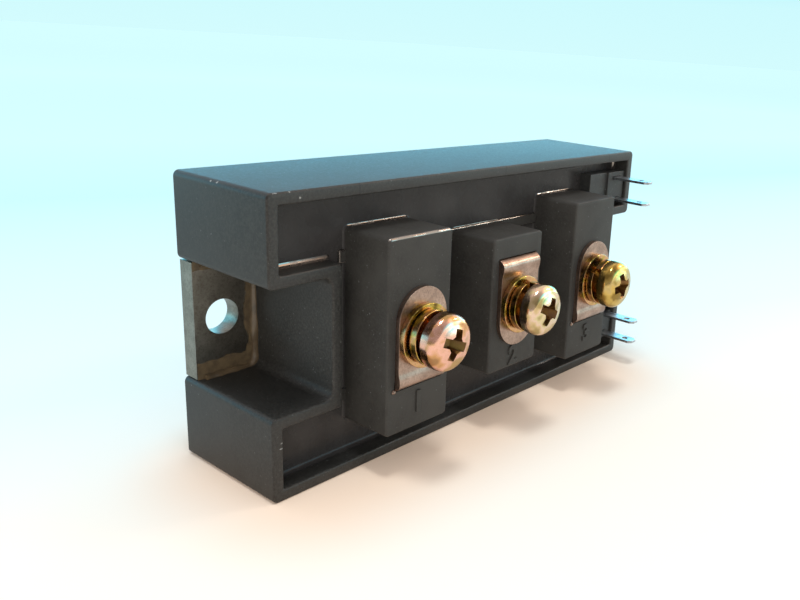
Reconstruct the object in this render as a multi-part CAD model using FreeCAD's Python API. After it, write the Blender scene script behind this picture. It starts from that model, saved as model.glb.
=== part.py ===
"""Half-bridge transistor power module with three screw terminals.

The module is drawn lying on its base plate: x along its length, y across it and z up from the
mounting face. Each finished piece is then turned up on its long side, so that the mounting face
looks along +Y and the terminals look along -Y. The origin is the centre of the mounting face.
All sizes are in millimetres. Cuts run 1 mm past the faces that they open.
"""
import FreeCAD
import Part

import math
import os

V = FreeCAD.Vector

# Moulded case
CASE_LENGTH = 90.0
CASE_WIDTH = 44.5
CASE_HEIGHT = 22.0
CASE_WALL = 1.8
CASE_CORNER = 0.9
RIM_EDGE = 0.25
NOTCH_WIDTH = 18.5
NOTCH_DEPTH = 10.6
NOTCH_CORNER = 1.5
LEDGE_WIDTH = 1.5
LEDGE_HEIGHT = 2.5

# Base plate and its mounting holes
PLATE_THICKNESS = 3.0
PLATE_FIT = 0.1
PLATE_CORNER = 1.0
EAR_SETBACK = 0.4
EAR_FIT = 0.15
HOLE_INSET = 5.0
HOLE_DIAMETER = 5.5

# Bead of adhesive between case and plate
BEAD_SIZE = 0.9

# Potting, measured from the mounting face
GEL_LEVEL = 13.0
RESIN_LEVEL = 18.4

# Terminal bridge
BLOCK_END_GAP = 3.1
TERMINAL_FACE = 28.0
BLOCK_WIDTH = 13.0
BLOCK_LENGTHS = (30.5, 23.5, 30.5)
BLOCK_ROUND = 0.7
BLOCK_EDGE = 0.3
RAIL_WIDTH = 2.0
RAIL_TOP = 18.9
RAIL_BOTTOM = 15.0
RAIL_SPREAD = 24.0
RAIL_OVERHANG = 1.2
STRAP_FIT = 0.1

# Main straps
STRAP_WIDTH = 9.8
STRAP_THICKNESS = 0.8
STRAP_BEND = 0.5
STRAP_REACH = 8.2
STRAP_NOSE = 7.4
STRAP_LEG_WIDTH = 4.0
MIDDLE_LEG_WIDTH = 2.5
STRAP_LEG_TOP = 14.5
STRAP_FOOT = 4.0
STRAP_HOLE = 5.5

# Screws, washers and captive nuts
THREAD = 5.0
SHANK_LENGTH = 11.0
HEAD_DIAMETER = 8.8
HEAD_HEIGHT = 3.4
HEAD_SHOULDER = 0.9
RECESS_WIDTH = 1.1
RECESS_SPAN = 4.6
RECESS_DEPTH = 1.9
RECESS_TAPER = 0.45
RECESS_TURNS = (-22.0, -26.0, 12.0)
FLAT_WASHER = 10.0
FLAT_WASHER_THICKNESS = 1.0
SPRING_WASHER = 8.6
SPRING_WASHER_THICKNESS = 1.3
SPRING_WASHER_RISE = 1.1
SPRING_WASHER_GAP = 0.8
SPRING_WASHER_TURNS = (60.0, 100.0, 140.0)
WASHER_BORE = 5.3
NUT_FLATS = 8.0
NUT_HEIGHT = 4.0
NUT_FIT = 0.1
NUT_DEPTH = 0.2
SHANK_FIT = 0.3

# Control tabs and their guides
TAB_INSET = 4.7
TAB_ROW_SHARES = (0.633, 0.165)
TAB_WIDTH = 2.8
TAB_THICKNESS = 0.5
TAB_TOP = 29.4
TAB_SHOULDER = 21.0
TAB_LEG_WIDTH = 1.3
TAB_FOOT = 8.2
TAB_HOLE = 1.2
TAB_HOLE_DROP = 2.2
TAB_TIP = 0.7
GUIDE_LENGTH = 11.85
GUIDE_TOP = 21.4
GUIDE_BOTTOM = 11.0
GUIDE_CHEEK = 1.0
GUIDE_STEP = 5.9
GUIDE_STEP_DROP = 0.5
GUIDE_FIT = 0.15
TAB_FIT = 0.05

# Insulating substrates
SUBSTRATE_GAP = 1.6
SUBSTRATE_MARGIN = 1.2
SOLDER_THICKNESS = 0.2
COPPER_THICKNESS = 0.3
CERAMIC_THICKNESS = 0.6
COPPER_INSET = 1.0
PAD_GAP = 1.0
GATE_PAD_WIDTH = 2.0
EMITTER_SHARE = 0.3

# Chips
CHIP_THICKNESS = 0.4
CHIP_MARGIN = 2.1
CHIP_GAP = 4.4
IGBT_SHARE = 0.595
IGBT_INSET = 1.25
DIODE_INSET = 0.8

# Bond wires and leads
WIRE = 0.4
WIRE_RISE = 2.2
IGBT_WIRE_COUNT = 3
DIODE_WIRE_COUNT = 2
WIRE_REACH = 3.0
GATE_WIRE_REACH = 1.2
LEAD = 1.0
LEAD_LEVEL = 10.2
LEAD_GAP = 0.3
LEAD_STRAIGHT = 4.5
LINK_WIDTH = 5.0
LINK_THICKNESS = 0.8
LINK_ARCH = 1.6
LINK_FOOT = 2.6

# Places that follow from the sizes above
HALF_LENGTH = CASE_LENGTH / 2
HALF_WIDTH = CASE_WIDTH / 2
NOTCH_WALL = HALF_LENGTH - NOTCH_DEPTH
INNER_END = NOTCH_WALL - CASE_WALL
INNER_SIDE = HALF_WIDTH - CASE_WALL
POCKET_IN = NOTCH_WIDTH / 2 + CASE_WALL
HOLE_X = HALF_LENGTH - HOLE_INSET
TERMINAL_PITCH = INNER_END - BLOCK_END_GAP - BLOCK_WIDTH / 2
TAB_CENTRE = HALF_LENGTH - TAB_INSET
TAB_ROWS = tuple(POCKET_IN + share * (INNER_SIDE - POCKET_IN) for share in TAB_ROW_SHARES)
STRAP_TOP = TERMINAL_FACE + STRAP_THICKNESS
HEAD_UNDERSIDE = STRAP_TOP + FLAT_WASHER_THICKNESS + SPRING_WASHER_THICKNESS + SPRING_WASHER_RISE
NUT_TOP = TERMINAL_FACE - NUT_DEPTH
BLOCK_FLOOR = GEL_LEVEL
BACK_COPPER_Z = PLATE_THICKNESS + SOLDER_THICKNESS
CERAMIC_Z = BACK_COPPER_Z + COPPER_THICKNESS
PAD_Z = CERAMIC_Z + CERAMIC_THICKNESS
PAD_TOP = PAD_Z + COPPER_THICKNESS
CHIP_TOP = PAD_TOP + CHIP_THICKNESS
SUBSTRATE_IN = SUBSTRATE_GAP / 2
SUBSTRATE_OUT = INNER_END - LEDGE_WIDTH - SUBSTRATE_MARGIN
SUBSTRATE_SIDE = INNER_SIDE - LEDGE_WIDTH - SUBSTRATE_MARGIN
PAD_IN = SUBSTRATE_IN + COPPER_INSET
PAD_OUT = SUBSTRATE_OUT - COPPER_INSET
PAD_SIDE = SUBSTRATE_SIDE - COPPER_INSET
EMITTER_EDGE = PAD_SIDE * (1 - 2 * EMITTER_SHARE)
COLLECTOR_TOP = EMITTER_EDGE - PAD_GAP
GATE_EDGE = -PAD_SIDE + GATE_PAD_WIDTH
COLLECTOR_BOTTOM = GATE_EDGE + PAD_GAP
CHIP_ROOM = PAD_OUT - PAD_IN - 2 * CHIP_MARGIN - CHIP_GAP
IGBT_SIDE = CHIP_ROOM * IGBT_SHARE
DIODE_SIDE = CHIP_ROOM - IGBT_SIDE
IGBT_PLACE = (PAD_IN + CHIP_MARGIN + IGBT_SIDE / 2, COLLECTOR_BOTTOM + IGBT_INSET + IGBT_SIDE / 2)
DIODE_PLACE = (PAD_OUT - CHIP_MARGIN - DIODE_SIDE / 2, COLLECTOR_TOP - DIODE_INSET - DIODE_SIDE / 2)
TERMINALS = ((-TERMINAL_PITCH, -1), (0.0, 1), (TERMINAL_PITCH, -1))
TAB_PLACES = ((1, TAB_ROWS[0]), (1, TAB_ROWS[1]), (-1, TAB_ROWS[1]), (-1, TAB_ROWS[0]))


def box(x0, x1, y0, y1, z0, z1):
    """A block between two corners."""
    return Part.makeBox(x1 - x0, y1 - y0, z1 - z0, V(x0, y0, z0))


def rounded_box(x0, x1, y0, y1, z0, z1, radius):
    """A block whose four upright edges are rounded."""
    solid = box(x0, x1, y0, y1, z0, z1)
    return solid.makeFillet(radius, upright_edges(solid))


def upright_edges(solid):
    """The straight edges of a solid that run along z."""
    chosen = []
    for edge in solid.Edges:
        ends = edge.Vertexes
        if len(ends) == 2 and math.hypot(ends[0].X - ends[1].X, ends[0].Y - ends[1].Y) < 1e-6:
            chosen.append(edge)
    return chosen


def round_bar(x, y, z0, z1, diameter):
    """An upright cylinder."""
    return Part.makeCylinder(diameter / 2, z1 - z0, V(x, y, z0))


def extrude_outline(points, z0, z1):
    """An upright prism on a closed outline of straight runs."""
    wire = Part.makePolygon([V(x, y, z0) for x, y in points] + [V(points[0][0], points[0][1], z0)])
    return Part.Face(wire).extrude(V(0, 0, z1 - z0))


def fuse_all(shapes):
    """One solid from several that touch."""
    result = shapes[0]
    for shape in shapes[1:]:
        result = result.fuse(shape)
    return result.removeSplitter()


def cut_all(solid, tools):
    """A solid less a list of others."""
    for tool in tools:
        solid = solid.cut(tool)
    return solid


def plan_outline(inset, z0, z1):
    """The case's plan with its two end notches, drawn in by an inset, as a prism."""
    length = HALF_LENGTH - inset
    width = HALF_WIDTH - inset
    notch = NOTCH_WIDTH / 2 + inset
    wall = NOTCH_WALL - inset
    body = box(-length, length, -width, width, z0, z1)
    for side in (-1, 1):
        near, far = sorted((side * wall, side * (length + 1)))
        body = body.cut(box(near, far, -notch, notch, z0, z1))
    return body


def notch_corner_edges(solid, inset):
    """The two inner upright edges of each notch."""
    wall = NOTCH_WALL - inset
    notch = NOTCH_WIDTH / 2 + inset
    return [
        edge for edge in upright_edges(solid)
        if abs(abs(edge.Vertexes[0].X) - wall) < 1e-4 and abs(abs(edge.Vertexes[0].Y) - notch) < 1e-4
    ]


def case_frame():
    """The moulded frame: notched plan, thin rim, inner ledge, and a pocket for the plate."""
    shell = plan_outline(0, 0, CASE_HEIGHT)
    corners = notch_corner_edges(shell, 0)
    shell = shell.makeFillet(NOTCH_CORNER, corners)
    outer = [edge for edge in upright_edges(shell) if abs(abs(edge.Vertexes[0].X) - HALF_LENGTH) < 1e-4]
    shell = shell.makeFillet(CASE_CORNER, outer)
    rim = [edge for edge in shell.Edges if edge.BoundBox.ZMin > CASE_HEIGHT - 1e-4]
    shell = shell.makeChamfer(RIM_EDGE, rim)
    ledge_top = PLATE_THICKNESS + LEDGE_HEIGHT
    cavity = plan_outline(CASE_WALL, ledge_top, CASE_HEIGHT + 1)
    throat = plan_outline(CASE_WALL + LEDGE_WIDTH, PLATE_THICKNESS - 1, ledge_top)
    ears = [ear_slab(side, EAR_FIT, -1, PLATE_THICKNESS, HALF_LENGTH + 1) for side in (-1, 1)]
    pocket = plate_slab(PLATE_FIT, -1, PLATE_THICKNESS)
    return cut_all(shell, [cavity, throat, pocket] + ears)


def plate_slab(extra, z0, z1):
    """The part of the base plate inside the skirt, with its clearance."""
    length = HALF_LENGTH - CASE_WALL - PLATE_FIT + extra
    width = HALF_WIDTH - CASE_WALL - PLATE_FIT + extra
    return rounded_box(-length, length, -width, width, z0, z1, PLATE_CORNER)


def ear_slab(side, extra, z0, z1, reach):
    """The tongue of the base plate that shows in one end notch."""
    half = NOTCH_WIDTH / 2 - EAR_FIT + extra
    near, far = sorted((side * INNER_END, side * reach))
    return box(near, far, -half, half, z0, z1)


def base_plate():
    """Copper plate with an ear and a mounting hole at each end."""
    reach = HALF_LENGTH - EAR_SETBACK
    ears = [ear_slab(side, 0, 0, PLATE_THICKNESS, reach) for side in (-1, 1)]
    plate = fuse_all([plate_slab(0, 0, PLATE_THICKNESS)] + ears)
    holes = [round_bar(side * HOLE_X, 0, -1, PLATE_THICKNESS + 1, HOLE_DIAMETER) for side in (-1, 1)]
    return cut_all(plate, holes)


def base_sealant(case):
    """Bead of adhesive that runs round the foot of the case in each notch."""
    half = NOTCH_WIDTH / 2
    end = HALF_LENGTH - EAR_SETBACK - BEAD_SIZE
    top = PLATE_THICKNESS + BEAD_SIZE
    beads = []
    for side in (-1, 1):
        near, far = sorted((side * (NOTCH_WALL - BEAD_SIZE), side * end))
        strip = box(near, far, -half, half, PLATE_THICKNESS, top)
        near, far = sorted((side * (NOTCH_WALL + BEAD_SIZE), side * (end + 1)))
        opening = box(near, far, -half + BEAD_SIZE, half - BEAD_SIZE, PLATE_THICKNESS, top)
        beads += strip.cut(opening).cut(case).Solids
    # The case's round corners leave slivers, which are no part of the bead.
    return Part.makeCompound([bead for bead in beads if bead.Volume > BEAD_SIZE ** 3])


def strap_profile(direction):
    """Side view of one strap's top plate, bend and leg, in the plane across the module."""
    outer = STRAP_BEND + STRAP_THICKNESS
    bend_y = STRAP_REACH - outer
    bend_z = STRAP_TOP - outer
    leg_in = STRAP_REACH - STRAP_THICKNESS

    def at(y, z):
        return V(0, direction * y, z)

    def halfway(radius):
        return at(bend_y + radius * math.sqrt(0.5), bend_z + radius * math.sqrt(0.5))

    edges = [
        Part.LineSegment(at(-STRAP_NOSE, STRAP_TOP), at(bend_y, STRAP_TOP)),
        Part.Arc(at(bend_y, STRAP_TOP), halfway(outer), at(STRAP_REACH, bend_z)),
        Part.LineSegment(at(STRAP_REACH, bend_z), at(STRAP_REACH, STRAP_LEG_TOP)),
        Part.LineSegment(at(STRAP_REACH, STRAP_LEG_TOP), at(leg_in, STRAP_LEG_TOP)),
        Part.LineSegment(at(leg_in, STRAP_LEG_TOP), at(leg_in, bend_z)),
        Part.Arc(at(leg_in, bend_z), halfway(STRAP_BEND), at(bend_y, TERMINAL_FACE)),
        Part.LineSegment(at(bend_y, TERMINAL_FACE), at(-STRAP_NOSE, TERMINAL_FACE)),
        Part.LineSegment(at(-STRAP_NOSE, TERMINAL_FACE), at(-STRAP_NOSE, STRAP_TOP)),
    ]
    return Part.Face(Part.Wire([edge.toShape() for edge in edges]))


def strap_body(x, direction):
    """The wide upper part of a strap."""
    face = strap_profile(direction)
    face.translate(V(x - STRAP_WIDTH / 2, 0, 0))
    return face.extrude(V(STRAP_WIDTH, 0, 0))


def terminal_strap(index):
    """Bent copper strap: round nose on the block, leg down through it, foot on a substrate."""
    x, direction = TERMINALS[index]
    half = STRAP_WIDTH / 2
    body = strap_body(x, direction)
    nose_y = direction * -(STRAP_NOSE - half)
    low, high = sorted((nose_y, direction * (STRAP_REACH + 1)))
    nose = round_bar(x, nose_y, 0, STRAP_TOP, STRAP_WIDTH)
    body = body.common(box(x - half, x + half, low, high, 0, STRAP_TOP).fuse(nose))
    leg_x = leg_place(index)
    leg_y = sorted((direction * (STRAP_REACH - STRAP_THICKNESS), direction * STRAP_REACH))
    leg = box(leg_x[0], leg_x[1], leg_y[0], leg_y[1], PAD_TOP, STRAP_LEG_TOP)
    foot_y = sorted((direction * (STRAP_REACH - STRAP_THICKNESS), direction * (STRAP_REACH + STRAP_FOOT)))
    foot = box(leg_x[0], leg_x[1], foot_y[0], foot_y[1], PAD_TOP, PAD_TOP + STRAP_THICKNESS)
    hole = round_bar(x, 0, TERMINAL_FACE - 1, STRAP_TOP + 1, STRAP_HOLE)
    return fuse_all([body, leg, foot]).cut(hole)


def leg_place(index):
    """The x range of a strap's leg, which for the middle one stands on the left substrate."""
    x = TERMINALS[index][0]
    if index == 1:
        right = -PAD_IN - PAD_GAP / 2
        return (right - MIDDLE_LEG_WIDTH, right)
    return (x - STRAP_LEG_WIDTH / 2, x + STRAP_LEG_WIDTH / 2)


def hexagon(x, flats, z0, z1):
    """Upright hexagonal bar with two corners on the module's length."""
    corner = flats / math.sqrt(3)
    turns = [math.radians(60 * i) for i in range(6)]
    outline = [(x + corner * math.cos(turn), corner * math.sin(turn)) for turn in turns]
    return extrude_outline(outline, z0, z1)


def terminal_bridge():
    """One moulding: three terminal blocks on two rails that span the case.

    The potting covers each block's square foot, and the block's corners are round above it.
    """
    half_rail = RAIL_SPREAD / 2
    rail_end = TERMINAL_PITCH + BLOCK_WIDTH / 2 + RAIL_OVERHANG
    half = BLOCK_WIDTH / 2
    shapes = []
    for side in (-1, 1):
        low, high = sorted((side * half_rail, side * (half_rail - RAIL_WIDTH)))
        shapes.append(box(-rail_end, rail_end, low, high, RAIL_BOTTOM, RAIL_TOP))
    for (x, _), length in zip(TERMINALS, BLOCK_LENGTHS):
        sides = (x - half, x + half, -length / 2, length / 2)
        block = rounded_box(*sides, RESIN_LEVEL, TERMINAL_FACE, BLOCK_ROUND)
        crown = [edge for edge in block.Edges if edge.BoundBox.ZMin > TERMINAL_FACE - 1e-4]
        shapes.append(block.makeChamfer(BLOCK_EDGE, crown))
        shapes.append(box(*sides, BLOCK_FLOOR, RESIN_LEVEL))
    bridge = fuse_all(shapes)
    nut_seat = NUT_TOP - NUT_HEIGHT - NUT_FIT
    well = HEAD_UNDERSIDE - SHANK_LENGTH - SHANK_FIT
    for x, direction in TERMINALS:
        bridge = bridge.cut(strap_slot(x, direction))
        bridge = bridge.cut(hexagon(x, NUT_FLATS + 2 * NUT_FIT, nut_seat, TERMINAL_FACE + 1))
        bridge = bridge.cut(hexagon(x, THREAD + 2 * SHANK_FIT, well, TERMINAL_FACE))
    return bridge


def strap_slot(x, direction):
    """The slot that a strap's leg comes up through, wider at the mouth for the bend."""
    half = STRAP_WIDTH / 2 + STRAP_FIT
    outer = STRAP_REACH + STRAP_FIT
    low, high = sorted((direction * (STRAP_REACH - STRAP_THICKNESS - STRAP_FIT), direction * outer))
    shaft = box(x - half, x + half, low, high, BLOCK_FLOOR - 1, TERMINAL_FACE + 1)
    bend = STRAP_BEND + STRAP_THICKNESS
    low, high = sorted((direction * (STRAP_REACH - bend), direction * outer))
    mouth = box(x - half, x + half, low, high, STRAP_TOP - bend, TERMINAL_FACE + 1)
    return shaft.fuse(mouth)


def terminal_nut(index):
    """Captive hexagon nut under a strap."""
    x = TERMINALS[index][0]
    nut = hexagon(x, NUT_FLATS, NUT_TOP - NUT_HEIGHT, NUT_TOP)
    return nut.cut(round_bar(x, 0, 0, TERMINAL_FACE, THREAD))


def terminal_screw(index):
    """Pan-head screw with a cross recess, standing on its washers."""
    x = TERMINALS[index][0]
    top = HEAD_UNDERSIDE + HEAD_HEIGHT
    radius = HEAD_DIAMETER / 2
    tip = HEAD_UNDERSIDE - SHANK_LENGTH
    shank = [V(0, 0, tip), V(THREAD / 2, 0, tip), V(THREAD / 2, 0, HEAD_UNDERSIDE)]
    head = [
        V(radius, 0, HEAD_UNDERSIDE),
        V(radius, 0, top - HEAD_SHOULDER),
        V(radius - HEAD_SHOULDER, 0, top),
        V(0, 0, top),
    ]
    outline = Part.makePolygon(shank + head + shank[:1])
    screw = Part.Face(outline).revolve(V(0, 0, 0), V(0, 0, 1), 360)
    screw.translate(V(x, 0, 0))
    return screw.cut(cross_recess(x, top, RECESS_TURNS[index]))


def cross_recess(x, top, turn):
    """Two crossed slots that taper towards the bottom."""
    half = RECESS_SPAN / 2
    low = half * RECESS_TAPER
    side = RECESS_WIDTH / 2
    wings = []
    corners = [
        V(-half, -side, 0),
        V(half, -side, 0),
        V(low, -side, -RECESS_DEPTH),
        V(-low, -side, -RECESS_DEPTH),
    ]
    for angle in (0, 90):
        wing = Part.Face(Part.makePolygon(corners + corners[:1])).extrude(V(0, RECESS_WIDTH, 0))
        wing.rotate(V(0, 0, 0), V(0, 0, 1), angle)
        wings.append(wing)
    recess = wings[0].fuse(wings[1])
    recess.rotate(V(0, 0, 0), V(0, 0, 1), turn)
    recess.translate(V(x, 0, top))
    return recess


def flat_washer(index):
    """Plain washer on the strap."""
    x = TERMINALS[index][0]
    ring = round_bar(x, 0, STRAP_TOP, STRAP_TOP + FLAT_WASHER_THICKNESS, FLAT_WASHER)
    return ring.cut(round_bar(x, 0, 0, HEAD_UNDERSIDE, WASHER_BORE))


def spring_washer(index):
    """Split washer that still stands open: each half climbs, so one end is higher than the other."""
    x = TERMINALS[index][0]
    outer = SPRING_WASHER / 2
    thick = SPRING_WASHER_THICKNESS
    height = SPRING_WASHER_RISE + thick
    ring = Part.makeCylinder(outer, height).cut(Part.makeCylinder(WASHER_BORE / 2, height))
    start = SPRING_WASHER_RISE / 2
    halves = []
    for side, end in ((1, 0), (-1, SPRING_WASHER_RISE)):
        corners = [
            V(-outer, 0, start),
            V(outer, 0, end),
            V(outer, 0, end + thick),
            V(-outer, 0, start + thick),
        ]
        ramp = Part.Face(Part.makePolygon(corners + corners[:1])).extrude(V(0, side * outer, 0))
        halves.append(ring.common(ramp))
    washer = halves[0].fuse(halves[1])
    washer = washer.cut(box(0, outer + 1, -SPRING_WASHER_GAP / 2, SPRING_WASHER_GAP / 2, -1, height + 1))
    washer.rotate(V(0, 0, 0), V(0, 0, 1), SPRING_WASHER_TURNS[index])
    washer.translate(V(x, 0, STRAP_TOP + FLAT_WASHER_THICKNESS))
    return washer


def gate_tab(number):
    """Control tab: a thin blade with a cut-back tip and a hole, on a narrow leg."""
    side, row = TAB_PLACES[number]
    leg = TAB_LEG_WIDTH / 2
    half = TAB_WIDTH / 2
    tip = half - TAB_TIP
    shoulder = TAB_SHOULDER - half
    right = [(leg, TAB_FOOT), (leg, shoulder), (half, shoulder), (half, TAB_TOP - TAB_TIP), (tip, TAB_TOP)]
    points = [V(x, 0, z) for x, z in right] + [V(-x, 0, z) for x, z in reversed(right)]
    blade = Part.Face(Part.makePolygon(points + points[:1])).extrude(V(0, TAB_THICKNESS, 0))
    hole = Part.makeCylinder(TAB_HOLE / 2, TAB_THICKNESS, V(0, 0, TAB_TOP - TAB_HOLE_DROP), V(0, 1, 0))
    blade = blade.cut(hole)
    blade.translate(V(TAB_CENTRE, side * row - TAB_THICKNESS / 2, 0))
    return blade


def guide_block(side):
    """The outer form of one guide, with its stepped top."""
    x1 = HALF_LENGTH - CASE_WALL - GUIDE_FIT
    x0 = x1 - GUIDE_LENGTH
    outer = TAB_ROWS[0] + TAB_THICKNESS / 2 + GUIDE_CHEEK
    inner = TAB_ROWS[1] - TAB_THICKNESS / 2
    low, high = sorted((side * inner, side * outer))
    guide = box(x0, x1, low, high, GUIDE_BOTTOM, GUIDE_TOP)
    step_z = GUIDE_TOP - GUIDE_STEP_DROP
    return guide.cut(box(x0 - 1, x0 + GUIDE_STEP, low - 1, high + 1, step_z, GUIDE_TOP + 1))


def gate_guide(side):
    """Small moulded guide in a corner, with a slot for one tab and a groove for the other."""
    guide = guide_block(side)
    x0 = TAB_CENTRE - TAB_WIDTH / 2 - TAB_FIT
    x1 = TAB_CENTRE + TAB_WIDTH / 2 + TAB_FIT
    thick = TAB_THICKNESS / 2 + TAB_FIT
    for row in TAB_ROWS:
        y = side * row
        guide = guide.cut(box(x0, x1, y - thick, y + thick, GUIDE_BOTTOM - 1, GUIDE_TOP + 1))
    return guide


def substrate_slab(side, inset, z0, z1):
    """A rectangle of one substrate, drawn in from the ceramic's edge."""
    near, far = sorted((side * (SUBSTRATE_IN + inset), side * (SUBSTRATE_OUT - inset)))
    width = SUBSTRATE_SIDE - inset
    return box(near, far, -width, width, z0, z1)


def pad(side, y0, y1):
    """A copper area on top of one ceramic."""
    near, far = sorted((side * PAD_IN, side * PAD_OUT))
    return box(near, far, y0, y1, PAD_Z, PAD_TOP)


def chip(side, place, edge):
    """A square chip on the collector area."""
    x = side * place[0]
    y = place[1]
    return box(x - edge / 2, x + edge / 2, y - edge / 2, y + edge / 2, PAD_TOP, CHIP_TOP)


def bond_wire(x, start, end):
    """One bond wire of square section: a foot on the chip, an arch, and a foot on the copper."""
    (y0, z0), (y1, z1) = start, end
    way = 1 if y1 > y0 else -1
    step = (y1 - y0) / 4
    top = max(z0, z1) + WIRE_RISE
    under = [(y0, z0), (y0 + way * WIRE, z0), (y0 + step, top - WIRE)]
    under += [(y1 - step, top - WIRE), (y1 - way * WIRE, z1), (y1, z1)]
    over = [(y1 - step + way * WIRE / 2, top), (y0 + step - way * WIRE / 2, top)]
    points = [V(x - WIRE / 2, y, z) for y, z in under + over]
    return Part.Face(Part.makePolygon(points + points[:1])).extrude(V(WIRE, 0, 0))


def wire_row(side, place, width, count, start_y, end_y):
    """A row of parallel bond wires, spread over one chip's width, from the chip to the copper."""
    rows = [side * place[0] + width * ((i + 1) / (count + 1) - 1 / 2) for i in range(count)]
    return [bond_wire(x, (start_y, CHIP_TOP), (end_y, PAD_TOP)) for x in rows]


def emitter_wires(side):
    """Bond wires from both chips of one substrate to its emitter area."""
    landing = EMITTER_EDGE + WIRE_REACH
    igbt = wire_row(side, IGBT_PLACE, IGBT_SIDE, IGBT_WIRE_COUNT, IGBT_PLACE[1] + WIRE_REACH, landing)
    diode = wire_row(side, DIODE_PLACE, DIODE_SIDE, DIODE_WIRE_COUNT, DIODE_PLACE[1], landing)
    return Part.makeCompound(igbt + diode)


def gate_wire(side):
    """Bond wire from the gate corner of one chip to the gate strip."""
    start_y = IGBT_PLACE[1] - IGBT_SIDE / 2 + GATE_WIRE_REACH
    end_y = (GATE_EDGE - PAD_SIDE) / 2
    return wire_row(side, IGBT_PLACE, IGBT_SIDE, 1, start_y, end_y)[0]


def phase_link():
    """Copper bridge from the right emitter area to the left collector area."""
    y1 = COLLECTOR_TOP
    y0 = y1 - LINK_WIDTH
    foot_top = PAD_TOP + LINK_THICKNESS
    arch_z = foot_top + LINK_ARCH
    arch_top = arch_z + LINK_THICKNESS
    post_x = PAD_IN + LINK_THICKNESS
    landing = (EMITTER_EDGE + LINK_FOOT, EMITTER_EDGE + LINK_WIDTH)
    left = box(-PAD_IN - LINK_FOOT, -PAD_IN, y0, y1, PAD_TOP, foot_top)
    post = box(-post_x, -PAD_IN, y0, y1, PAD_TOP, arch_top)
    deck = box(-post_x, post_x, y0, y1, arch_z, arch_top)
    arm = box(PAD_IN, post_x, y0, landing[1], arch_z, arch_top)
    drop = box(PAD_IN, post_x, *landing, PAD_TOP, arch_z)
    foot = box(PAD_IN, PAD_IN + LINK_FOOT, *landing, PAD_TOP, foot_top)
    return fuse_all([left, post, deck, arm, drop, foot])


def lead_routes():
    """Corner points of the four control leads, tab foot first."""
    start = TAB_CENTRE - TAB_LEG_WIDTH / 2
    straight = start - LEAD_STRAIGHT
    gate_y = (GATE_EDGE - PAD_SIDE) / 2
    outer = SUBSTRATE_SIDE
    lane = PAD_SIDE - LEAD
    corner = SUBSTRATE_OUT + LEAD
    inside = EMITTER_EDGE + WIRE_REACH
    foot = PAD_OUT - LEAD
    level = LEAD_LEVEL
    under = level - LEAD - LEAD_GAP
    high, low = TAB_ROWS
    far_gate = [V(start, high, level), V(straight, high, level), V(corner, outer, level)]
    far_gate += [V(-corner, outer, level), V(-corner, gate_y, level), V(-foot + LEAD, gate_y, PAD_TOP)]
    far_emitter = [V(start, low, level), V(straight, low, level), V(corner, lane, level)]
    far_emitter += [V(-TERMINAL_PITCH + LEAD, lane, level), V(-TERMINAL_PITCH - LEAD, lane, PAD_TOP)]
    near_emitter = [V(start, -low, under), V(corner, -low, under)]
    near_emitter += [V(corner, inside, under), V(foot - LEAD, inside, PAD_TOP)]
    near_gate = [V(start, -high, level), V(straight, -high, level)]
    near_gate += [V(corner, gate_y, level), V(foot - LEAD, gate_y, PAD_TOP)]
    return (far_gate, far_emitter, near_emitter, near_gate)


def gate_lead(number):
    """Insulated lead from a tab's foot to its pad, six-sided, in straight runs with mitred corners."""
    points = lead_routes()[number]
    turns = [math.radians(60 * i) for i in range(7)]
    corners = [points[0] + V(0, LEAD / 2 * math.cos(turn), LEAD / 2 * math.sin(turn)) for turn in turns]
    section = Part.makePolygon(corners)
    lead = Part.makePolygon(points).makePipeShell([section], True, False, 1)
    below = box(-HALF_LENGTH, HALF_LENGTH, -HALF_WIDTH, HALF_WIDTH, PLATE_THICKNESS, PAD_TOP)
    return lead.cut(below)


def cavity_fill(z0, z1):
    """The case's inside between two levels."""
    ledge_top = PLATE_THICKNESS + LEDGE_HEIGHT
    lower = plan_outline(CASE_WALL + LEDGE_WIDTH, z0, min(z1, ledge_top)) if z0 < ledge_top else None
    upper = plan_outline(CASE_WALL, max(z0, ledge_top), z1)
    return upper if lower is None else fuse_all([lower, upper])


def potted_envelopes():
    """The blocks and guides without their slots, which the potting doesn't fill."""
    half = BLOCK_WIDTH / 2
    blocks = [
        box(x - half, x + half, -length / 2, length / 2, BLOCK_FLOOR, RESIN_LEVEL)
        for (x, _), length in zip(TERMINALS, BLOCK_LENGTHS)
    ]
    return blocks + [guide_block(side) for side in (-1, 1)]


def turned_up(shape):
    """The piece as the module stands on its long side."""
    turned = shape.copy()
    turned.rotate(V(0, 0, 0), V(1, 0, 0), 90)
    return turned


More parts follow.
